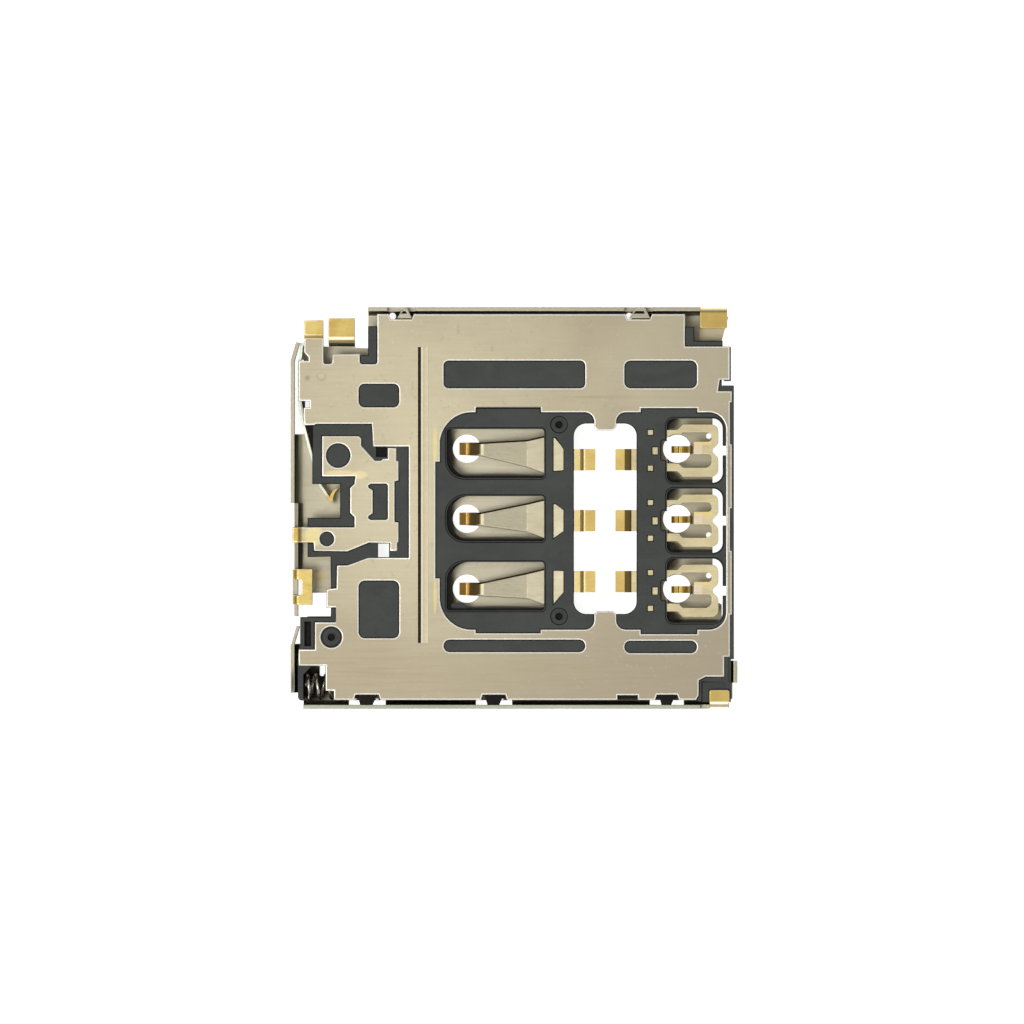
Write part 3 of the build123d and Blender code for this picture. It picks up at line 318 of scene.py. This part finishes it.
def gold_plating(name, colour, shade, roughness, shades=()):
    """Thin gold over nickel: warm, a little mottled where the strip's grain shows through, and painted shade
    away from a lit middle.

    The grain is drawn 0.05 mm wide, coarser than the real one, so that it shows.
    """
    finish, tree, shader, where = new_finish(name)
    cloud = ranged(tree, noise(tree, where, 1.6, 3), 0.3, 0.7)
    tone = mixed(tree, cloud, linear(shade), linear(colour))
    # Painted shade: the gold darkens away from a lit middle
    tone = mixed(tree, times(tree, painted_falloff(tree, where, (-5.5, 2.0), 16), 0.7), tone, linear(shade))
    tree.links.new(stains_and_painted_light(tree, where, tone, shades=shades), shader.inputs["Base Color"])
    grain = noise(tree, where, (4.0, 22.0, 22.0), 3, 0.6)
    rough = ranged(tree, grain, 0.3, 0.7, roughness - 0.05, roughness + 0.07)
    tree.links.new(rough, shader.inputs["Roughness"])
    rough_surface(tree, shader, grain, 0.25, 0.003)
    shader.inputs["Metallic"].default_value = 1.0
    return finish


def glass_filled_moulding(name, low_tone, high_tone, gloss):
    """Glass-filled liquid-crystal polymer: near black, matt, short pale fibre streaks and soft flow marks.

    Real fibres are 0.01 mm thick and 0.2 mm long. They are drawn 0.04 mm thick, so that they show.
    """
    finish, tree, shader, where = new_finish(name)
    flow = ranged(tree, noise(tree, where, (0.5, 0.9, 0.9), 3, 0.55, 1.0), 0.3, 0.7)
    tone = mixed(tree, flow, linear(low_tone), linear(high_tone))
    fibres = ranged(tree, noise(tree, where, (6.0, 28.0, 28.0), 2), 0.66, 0.80)
    tone = mixed(tree, times(tree, fibres, 0.25), tone, linear("#6b6d66"))
    tree.links.new(tone, shader.inputs["Base Color"])
    skin = noise(tree, where, 16.0, 4, 0.65)
    tree.links.new(ranged(tree, skin, 0.3, 0.7, 0.46, 0.64), shader.inputs["Roughness"])
    rough_surface(tree, shader, skin, 0.35, 0.006)
    shader.inputs["Specular IOR Level"].default_value = gloss
    return finish


def nickel_with_gold(name, gold_low, gold_high, gold_below=ABOVE, tones=("#a89f86", "#b8af93"), shades=()):
    """Contact strip: nickel-plated alloy, gold between two places along X and below a height, with bands.

    Its grain runs along the strip and is drawn 0.05 mm wide, coarser than the real one, so that it shows.
    """
    finish, tree, shader, where = new_finish(name)
    cloud = ranged(tree, noise(tree, where, 0.9, 3), 0.3, 0.7)
    nickel = mixed(tree, cloud, linear(tones[0]), linear(tones[1]))
    gold = mixed(tree, cloud, linear("#bba15f"), linear("#ccb470"))
    along = axis(tree, where, "X")
    share = times(tree, ranged(tree, along, gold_low - 0.04, gold_low + 0.04),
                  ranged(tree, along, gold_high + 0.04, gold_high - 0.04))
    share = times(tree, share, ranged(tree, axis(tree, where, "Z"), gold_below + 0.03, gold_below - 0.03))
    tone = mixed(tree, share, nickel, gold)
    tree.links.new(stains_and_painted_light(tree, where, tone, shades=shades), shader.inputs["Base Color"])
    grain = noise(tree, where, (3.0, 20.0, 20.0), 3, 0.6)
    tree.links.new(ranged(tree, grain, 0.3, 0.7, 0.38, 0.48), shader.inputs["Roughness"])
    rough_surface(tree, shader, grain, 0.10, 0.002)
    shader.inputs["Metallic"].default_value = 1.0
    return finish


# Marks on the plate: stains (tarnish beside the moulding, two dried drops, a long smear, thin gold that
# spread from the island's tail), two grey patches low down, and a paler far corner
plate_marks = [
    ((-2.86, 2.2), (0.07, 0.75), "#d0bd7c", 0.55), ((-2.86, -3.2), (0.06, 0.60), "#d0bd7c", 0.5),
    ((-7.49, 4.71), (0.09, 0.09), "#8a816b", 0.8), ((-6.98, 4.76), (0.17, 0.15), "#958b75", 0.75),
    ((-6.98, 4.78), (0.12, 0.10), "#b3a88a", 0.75), ((4.5, 4.02), (2.6, 0.07), "#978c74", 0.5),
    ((-6.2, -5.2), (1.9, 1.3), "#948973", 0.55), ((-1.6, -5.9), (4.4, 0.7), "#958a72", 0.4),
    ((-6.3, 1.15), (0.65, 0.22), "#d8c694", 0.5), ((-5.6, 1.2), (0.28, 0.14), "#d8c694", 0.4),
    ((-7.25, -1.0), (0.35, 0.35), "#d2c283", 0.6), ((6.6, 5.3), (3.3, 2.3), "#b5ad93", 0.36),
]
# Painted shade: a fine dark line where the bead's flank meets the flat
bead_foot_shade = [((-3.13, -3.10), (-4.85, 5.80), 0.01, "#a2967b", 0.6)]
# Nickel-silver strip of the base plate and the island: champagne, satin from rolling
plate_face = rolled_sheet("rolled_nickel_silver", "#b2a98e", "#958b77", "#cfc7ae", 0.36, 0.22,
                          marks=plate_marks, shades=bead_foot_shade)
# Its cut edge is painted near white as a highlight, and brown flash of the moulding covers it in two places
brown_flash = [
    ((-1.38, 0.98), (3.45, 3.68), 0.03, "#3a2a1a", 0.9),
    ((-1.23, 0.94), (-4.52, -4.25), 0.03, "#3a2a1a", 0.9),
]
plate_rim = cut_edge("nickel_silver_edge_highlight_and_flash", "#fffdf6", "#f8f3e4", 0.4, 0.45, brown_flash)
# Stainless sheet of the cover: cooler and smoother than the plate. Painted shadows darken it under the coil
# and around the contacts, and painted shade darkens its rear fold
rear_fold_shade = "#4a4230"
painted_shadows = [((-3.5, -6.3), (4.4, 0.95), "#2b2822", 0.93), ((-7.3, -6.35), (0.75, 0.72), "#14110d", 0.97)]
rear_fold = (REAR + 0.13, REAR + 0.42)
cover_shades = [
    # Painted shade on the rear fold
    (rear_fold, (-0.75, 2.68), 0.05, rear_fold_shade, 0.5), (rear_fold, (-2.2, -0.7), 0.05, rear_fold_shade, 0.5),
    # Painted light on the floor by the plain-side front foot; a greener band on top of the spring-side wall
    ((6.74, 7.68), (6.09, 6.50), 0.03, "#e2d2a8", 0.35), ((-7.6, 7.9), (-7.25, -7.08), 0.01, "#a0aa97", 0.6),
    # A darker band on top of the plain-side wall; a painted reflection of gold beside the rear foot, spring
    # side
    ((-6.0, 7.0), (7.10, 7.25), 0.01, "#a49c82", 0.4), ((-7.27, -6.87), (-2.72, -2.30), 0.07, "#b59a5a", 0.4),
]
# Painted shadows beside the rear tips, along the rear windows' lower edges and around the forks
for row, below in zip(ROWS, (1.06, 0.81, 0.78)):
    painted_shadows.append(((REAR_TIP - 0.72, row - 0.15), (0.34, 0.95), "#28241a", 0.85))
    painted_shadows.append(((REAR_TIP + 1.2, row - below), (1.9, 0.16), "#28241a", 0.75))
    painted_shadows.append(((FRONT_TIP - 0.42, row + 0.98), (0.42, 0.26), "#3a2f1c", 0.7))
    painted_shadows.append(((FRONT_TIP - 0.36, row - 1.10), (0.46, 0.28), "#28241a", 0.75))
    painted_shadows.append(((FRONT_TIP + 0.6, row - 1.20), (1.2, 0.10), "#28241a", 0.8))
cover_face = rolled_sheet("rolled_stainless_steel", "#b6af99", "#9c9580", "#c8c3b2", 0.40, 0.25, 0.3, painted_shadows,
                          cover_shades)
# Sheared stainless edge: a little greener and duller than the plate's
cover_rim = cut_edge("sheared_stainless_edge", "#d5d6c3", "#b0ad98", 0.42)
# Solder feet: gold over nickel, satin from the strip below, painted highlights on four bends, paler bands
# below two
gold_bends = [
    ((-7.7, -6.85), (6.17, 6.23), 0.02, "#fff4c8", 0.9), ((-7.7, -6.85), (5.78, 5.91), 0.02, "#c9b280", 0.5),
    ((-6.75, -5.75), (6.08, 6.20), 0.03, "#f6ebc9", 0.8),
    ((-6.75, -5.75), (5.92, 6.06), 0.02, "#e6cf96", 0.8),
    ((6.7, 7.75), (7.13, 7.30), 0.02, "#fbf0cc", 0.8), ((7.0, 7.9), (-7.30, -7.02), 0.03, "#fdf6dc", 0.85),
]
gold_face = gold_plating("gold_plated_foot", "#bfab68", "#aa9052", 0.36, gold_bends)
# Rounded edge of the feet, painted pale gold as a highlight
gold_rim = gold_plating("gold_edge_painted_highlight", "#f3e4b8", "#d8ba74", 0.42)
# Liquid-crystal polymer with glass: near black and matt, with faint pale fibres
moulding = glass_filled_moulding("glass_filled_polymer", "#404441", "#494c48", 0.3)
# The same polymer painted near black as shade on its edges, walls, ledges, pits and recesses
moulding_shade = glass_filled_moulding("polymer_painted_shade", "#120f0c", "#1d1813", 0.15)
# Painted shade on the rounded upper edges of the beams, apart from their lit spring side
beam_edge_shade = gold_plating("beam_edge_painted_shade", "#4b3a25", "#33291b", 0.5)
# Flank of the stiffening bead, painted pale as its lit side, with a painted highlight along its upper edge
bead_highlight = [((-3.36, -3.31), None, 0.01, "#fffbe6", 0.9)]
bead_flank = cut_edge("bead_flank_painted_light", "#e4d8b5", "#ddd0ae", 0.5, 0.55, bead_highlight)
# Root of the bead, painted dark as the shade in its crease
bead_root = cut_edge("bead_root_painted_shade", "#4c4433", "#3f3526", 0.5, 0.2)
# Drawn spring wire: bright and smooth, with sharp lights along each turn
wire_steel = rolled_sheet("drawn_spring_wire", "#f8f4ec", "#dcd6c8", "#fffdf8", 0.26, 0.15, 0.2)

# Pieces

# Finish slots of the sheet pieces; the bead's flank and root are on the plate alone
FACE, RIM, GOLD, GOLD_RIM, FLANK, ROOT = range(6)
plate = on_bench("base_plate", "plate", 0.012)
finish_with(plate, plate_face, plate_rim, gold_face, gold_rim)
bead_box = ((REAR + 4.55, -5.2, 1.2), (REAR + 5.15, 6.2, 1.45))
root_box = (bead_box[0], (REAR + 4.74, 6.2, 1.45))
tail_box = ((REAR + 0.45, PLAIN_SIDE - 1.35, 1.0), (REAR + 1.25, PLAIN_SIDE, ABOVE))
crease_box = ((REAR + 0.45, 6.10, 1.0), (REAR + 1.25, 6.30, ABOVE))
round_edges(plate, 0.05, RIM, left_sharp=[bead_box])
finish_with(plate, bead_flank, bead_root)
# Painted light on the bead's flank, painted shade in its root
paint(plate, {FACE: FLANK}, *bead_box, facing=(0.17, 0, 0.98))
paint(plate, {FACE: ROOT, FLANK: ROOT}, *root_box)
paint(plate, {FACE: GOLD, RIM: GOLD_RIM}, *tail_box)
# Painted light: the steep face of the tail's crease takes the pale edge gold
paint(plate, {GOLD: GOLD_RIM}, *crease_box, facing=(0, -0.6, 0.45))
place(plate, "socket", "base_plate")

island = on_bench("detect_terminal", "switch_island")
finish_with(island, plate_face, plate_rim, gold_face, gold_rim)
round_edges(island, 0.05, RIM)
paint(island, {FACE: GOLD, RIM: GOLD_RIM}, (REAR, -1.7, 1.0), (REAR + 0.75, -0.6, ABOVE))
place(island, "socket", "detect_terminal")

shell = on_bench("cover", "shell", 0.012)
finish_with(shell, cover_face, cover_rim, gold_face, gold_rim)
round_edges(shell, 0.03, RIM, lowest=0.5)
foot_boxes = (
    ((6.6, 6.3, 0.95), (7.8, 7.4, ABOVE)), ((7.0, -7.4, 0.95), (7.9, -6.5, ABOVE)),
    ((-6.85, 5.8, 1.0), (-5.6, 7.0, ABOVE)), ((-8.2, -3.6, 1.05), (-7.2, -2.1, ABOVE)),
)
for low, high in foot_boxes:
    paint(shell, {FACE: GOLD, RIM: GOLD_RIM}, low, high)
place(shell, "socket", "cover")

# Finish slots of the moulding; its painted shade is on the rounded top edges, the windows' walls and ledges,
# the gates, the latch noses, the moulding behind the leaf and two recesses
SKIN, SHADED = range(2)
body = on_bench("housing", "moulded_frame", 0.004)
finish_with(body, moulding, moulding_shade)
frame_ends = [
    ((-5.5, -2.0, 0), (-3.7, -1.1, ABOVE)), ((-5.3, 1.6, 0), (-3.7, 2.4, ABOVE)),
    ((-FAR, -7, 0), (-7.2, -5.3, ABOVE)), ((7.6, -FAR, 0), (FAR, FAR, ABOVE)),
]
round_edges(body, 0.03, SHADED, lowest=1.32, left_sharp=frame_ends)
shade_boxes = (
    ((REAR_TIP - 0.8, -4.2, 1.0), (FRONT_TIP + 1.8, 3.4, 1.30)),
    ((REAR + 0.40, 1.9, 0.2), (REAR + 0.82, 4.2, 1.22)),
    ((REAR + 0.50, -5.8, 1.1), (REAR + 0.75, -3.9, 1.33)),
    ((REAR + 3.08, 1.8, 1.1), (REAR + 3.52, 2.3, 1.33)),
)
for low, high in shade_boxes:
    paint(body, {SKIN: SHADED}, low, high)
for pit_x, pit_y, reach in ((-6.62, -4.68, 0.40), (1.63, 3.00, 0.32), (1.63, -3.92, 0.32)):
    near, far = (pit_x - reach, pit_y - reach), (pit_x + reach, pit_y + reach)
    paint(body, {SKIN: SHADED}, (*near, 1.0), (*far, 1.345))
    paint(body, {SHADED: SKIN}, (*near, 1.27), (*far, 1.31), facing=(0, 0, 1))
for nose_x in (-5.3, -0.7, 5.5):
    paint(body, {SKIN: SHADED}, (nose_x - 0.8, -7.3, 0.8), (nose_x + 0.8, -6.80, 1.36))
place(body, "socket", "housing")

# Painted light and shade: bands across the bent tips, the sloped blades, the small windows and the tails'
# jogs
rear_painted_light = [
    ((-1.96, -1.72), None, 0.02, "#c9a564", 0.8), ((-1.72, -1.63), None, 0.015, "#ffdf9c", 0.9),
    ((-1.61, -1.21), None, 0.03, "#8a7750", 0.85), ((-1.19, -1.10), None, 0.015, "#cfc8b4", 0.9),
    ((-1.08, 0.48), None, 0.06, "#96907d", 0.75), ((0.50, 1.50), None, 0.04, "#978f79", 0.8),
]
tail_painted_light = [
    ((-FAR, 1.25), None, 0.03, "#a59d85", 0.6),
    ((2.19, 2.36), None, 0.02, "#d8c691", 0.6), ((2.38, 2.48), None, 0.015, "#fff0bc", 0.8),
    ((2.48, 2.52), None, 0.01, "#5a3d22", 0.5), ((2.54, 2.59), None, 0.01, "#e6cfa6", 0.6),
]
front_tail_painted_light = [
    ((4.02, 4.25), None, 0.015, "#5a4428", 0.7), ((4.26, 4.36), None, 0.02, "#d9b98f", 0.8),
    ((4.86, 5.40), None, 0.02, "#fdf8e4", 0.85),
]


def tongue_bands(row):
    """Painted light and shade across one forked contact's bent tip, painted shade in its pocket, a pinkish
    band on its flat and a yellow band along its shelf.
    """
    tongue = (row - 0.45, row + 0.30)
    return [
        ((5.33, 5.50), (row - 0.40, row + 0.27), 0.02, "#2a2318", 0.85),
        ((5.72, 5.81), tongue, 0.02, "#4a3717", 0.8), ((5.82, 5.95), tongue, 0.02, "#d8c893", 0.8),
        ((5.95, 6.00), tongue, 0.01, "#4a3717", 0.7), ((6.01, 6.10), tongue, 0.02, "#fff0b0", 0.9),
        ((6.12, 6.29), tongue, 0.02, "#d0ac55", 0.7), ((6.30, 6.38), tongue, 0.01, "#fff0a8", 0.9),
        ((6.39, 6.47), tongue, 0.01, "#5a3418", 0.8), ((6.49, 6.82), tongue, 0.02, "#d3c0ae", 0.7),
        ((6.50, 7.15), (row + 0.14, row + 0.26), 0.02, "#d8c070", 0.7),
    ]


# Finish slots of the contact strips; the pale bevel is on the rear ones alone, on the spring side
HEAD, TAIL, BEVEL, PALE_BEVEL = range(4)
EVERYWHERE = ((-FAR, -FAR, 0), (FAR, FAR, ABOVE))
# Copper alloy under satin nickel, gold on the rear tips and on the tails that go to the board
rear_finish = nickel_with_gold("contact_strip_rear", -FAR, REAR_TIP + 0.55, shades=rear_painted_light)
tail_finish = nickel_with_gold("contact_strip_tails", CENTRE_X[0] + 0.05, FAR, tones=("#c0b798", "#cfc7ae"),
                               shades=tail_painted_light)
# Upper edge of the beams on the spring side, painted pale as their lit side, and the forks' edge, painted
# near white as a highlight
beam_rim = cut_edge("beam_edge_painted_light", "#dccfb2", "#cbbd9f", 0.45, 0.3)
fork_rim = cut_edge("fork_edge_painted_highlight", "#fbf3d8", "#e6d6a8", 0.4, 0.2)
beam_ends = [((-FAR, -FAR, 0), (REAR_TIP + 0.3, FAR, ABOVE)), ((1.1, -FAR, 0), (FAR, FAR, ABOVE))]
for node in ("contact_c1", "contact_c2", "contact_c3"):
    strip = on_bench(node, "beam_" + node[-2:])
    finish_with(strip, rear_finish, tail_finish, beam_edge_shade, beam_rim)
    round_edges(strip, 0.06, BEVEL, left_sharp=beam_ends)
    # Painted light on the bevels that face the spring side
    paint(strip, {BEVEL: PALE_BEVEL}, *EVERYWHERE, facing=(0, -0.9, 0.3))
    paint(strip, {HEAD: TAIL}, (0.9, -FAR, 0), (FAR, FAR, ABOVE))
    place(strip, "socket", node)
front_tail_finish = nickel_with_gold("contact_strip_front_tails", -FAR, CENTRE_X[1] + 0.02,
                                     shades=front_tail_painted_light)
fork_ends = [
    ((-FAR, -FAR, 0), (FRONT_TIP - 0.5, FAR, ABOVE)), ((-FAR, -FAR, 0), (FRONT_TIP + 0.4, FAR, 1.1)),
]
for node, row in zip(("contact_c5", "contact_c6", "contact_c7"), ROWS):
    strip = on_bench(node, "fork_" + node[-2:])
    front_finish = nickel_with_gold("contact_strip_front_" + node[-2:], -FAR, FRONT_TIP + 0.42, 0.98,
                                    ("#b6a985", "#c6b992"), tongue_bands(row))
    finish_with(strip, front_finish, front_tail_finish, fork_rim)
    round_edges(strip, 0.025, BEVEL, left_sharp=fork_ends)
    paint(strip, {HEAD: TAIL}, (0.0, -FAR, 0), (5.2, FAR, ABOVE))
    place(strip, "socket", node)

leaf = on_bench("detect_spring", "switch_leaf")
finish_with(leaf, nickel_with_gold("switch_leaf_strip", REAR + 1.30, FAR, tones=("#c9d0bb", "#dfe6d2")))
round_edges(leaf, 0.012)
place(leaf, "socket", "detect_spring")

sled = on_bench("slider", "sled")
finish_with(sled, moulding)
round_edges(sled, 0.03)
place(sled, "slider", "slider")

pin = on_bench("cam_pin", "cam_wire")
finish_with(pin, wire_steel)
round_edges(pin, 0.01)
place(pin, "cam_pin", "cam_pin")

coil = on_bench("eject_spring", "coil")
finish_with(coil, wire_steel)
place(coil, "socket", "eject_spring")
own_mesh(coil)

# Table, studio light and camera

# The table lies just under the cover, so that the two don't share a plane
TABLE_SIDE, TABLE_Z = 3.0, -0.00002
bpy.ops.mesh.primitive_plane_add(size=TABLE_SIDE, location=(0, 0, TABLE_Z))
table = bpy.context.object
table.name = "white_table"
paper = bpy.data.materials.new("white_paper")
paper.use_nodes = True
tree = paper.node_tree
sheet_shader = tree.nodes["Principled BSDF"]
sheet_shader.inputs["Base Color"].default_value = linear("#e6e6e6")
sheet_shader.inputs["Roughness"].default_value = 0.9
sheet_shader.inputs["Specular IOR Level"].default_value = 0.1
# The paper shows white to the camera and in gloss and glass, without more light on the part
path = add(tree, "ShaderNodeLightPath")
seen = add(tree, "ShaderNodeMath", {"operation": "MAXIMUM"}, None,
           {0: path.outputs["Is Camera Ray"], 1: path.outputs["Is Glossy Ray"]})
seen = add(tree, "ShaderNodeMath", {"operation": "MAXIMUM"}, None,
           {0: seen.outputs[0], 1: path.outputs["Is Transmission Ray"]})
sheet_shader.inputs["Emission Color"].default_value = (1, 1, 1, 1)
tree.links.new(times(tree, seen.outputs[0], 0.85), sheet_shader.inputs["Emission Strength"])
table.data.materials.append(paper)

world = bpy.data.worlds.new("studio")
bpy.context.scene.world = world
world.use_nodes = True
tree = world.node_tree
sky = tree.nodes["Background"]
# The large light stands a little to the rear and the spring side of straight above
BRIGHT_SIDE = Vector((-0.29, -0.16, 1.10)).normalized()
direction = add(tree, "ShaderNodeTexCoord")
towards = add(tree, "ShaderNodeVectorMath", {"operation": "DOT_PRODUCT"}, {1: BRIGHT_SIDE},
              {0: direction.outputs["Generated"]})
glow = add(tree, "ShaderNodeValToRGB", None, None, {0: towards.outputs["Value"]})
# Cosine of the angle to the bright side and level there: a glow low down, a dark band, bright again on top
sky_levels = ((0.0, 0.85), (0.20, 0.80), (0.34, 0.20), (0.66, 0.35), (0.86, 0.60), (0.95, 0.82), (1.0, 0.93))
first, last = glow.color_ramp.elements
first.position, last.position = sky_levels[0][0], sky_levels[-1][0]
for place_on_ramp, _ in sky_levels[1:-1]:
    glow.color_ramp.elements.new(place_on_ramp)
for stop, (_, level) in zip(glow.color_ramp.elements, sky_levels):
    stop.color = (level, level, level, 1)
tree.links.new(glow.outputs[0], sky.inputs["Strength"])
backdrop = add(tree, "ShaderNodeBackground", None, {"Color": (1, 1, 1, 1), "Strength": 1.0})
rays = add(tree, "ShaderNodeLightPath")
shown = add(tree, "ShaderNodeMixShader", None, None,
            {0: rays.outputs["Is Camera Ray"], 1: sky.outputs[0], 2: backdrop.outputs[0]})
tree.links.new(shown.outputs[0], tree.nodes["World Output"].inputs[0])
sky.inputs["Color"].default_value = (1.0, 1.0, 1.0, 1.0)

SOFTBOX_DISTANCE = 0.42
bpy.ops.object.light_add(type="AREA", location=BRIGHT_SIDE * SOFTBOX_DISTANCE)
softbox = bpy.context.object
softbox.name = "softbox"
softbox.data.shape = "SQUARE"
softbox.data.size = 0.12
softbox.data.energy = 0.42
softbox.rotation_euler = (-softbox.location).to_track_quat("-Z", "Y").to_euler()

# Camera straight above the plate, with the photo's scale and the place of the part's origin in its frame
PIXELS_PER_MM = 27.6
PHOTO_SIDE = 1024
ORIGIN_PIXEL = (514, 508)
LENS = 600
SENSOR = 36
field = PHOTO_SIDE / PIXELS_PER_MM * MM
look_x = (PHOTO_SIDE / 2 - ORIGIN_PIXEL[0]) / PIXELS_PER_MM * MM
look_y = (ORIGIN_PIXEL[1] - PHOTO_SIDE / 2) / PIXELS_PER_MM * MM
height = PLATE_TOP * MM + field * LENS / SENSOR
bpy.ops.object.camera_add(location=(look_x, look_y, height), rotation=(0, 0, 0))
camera = bpy.context.object
camera.data.lens = LENS
camera.data.sensor_width = SENSOR
bpy.context.scene.camera = camera
bpy.context.scene.view_settings.view_transform = "Standard"
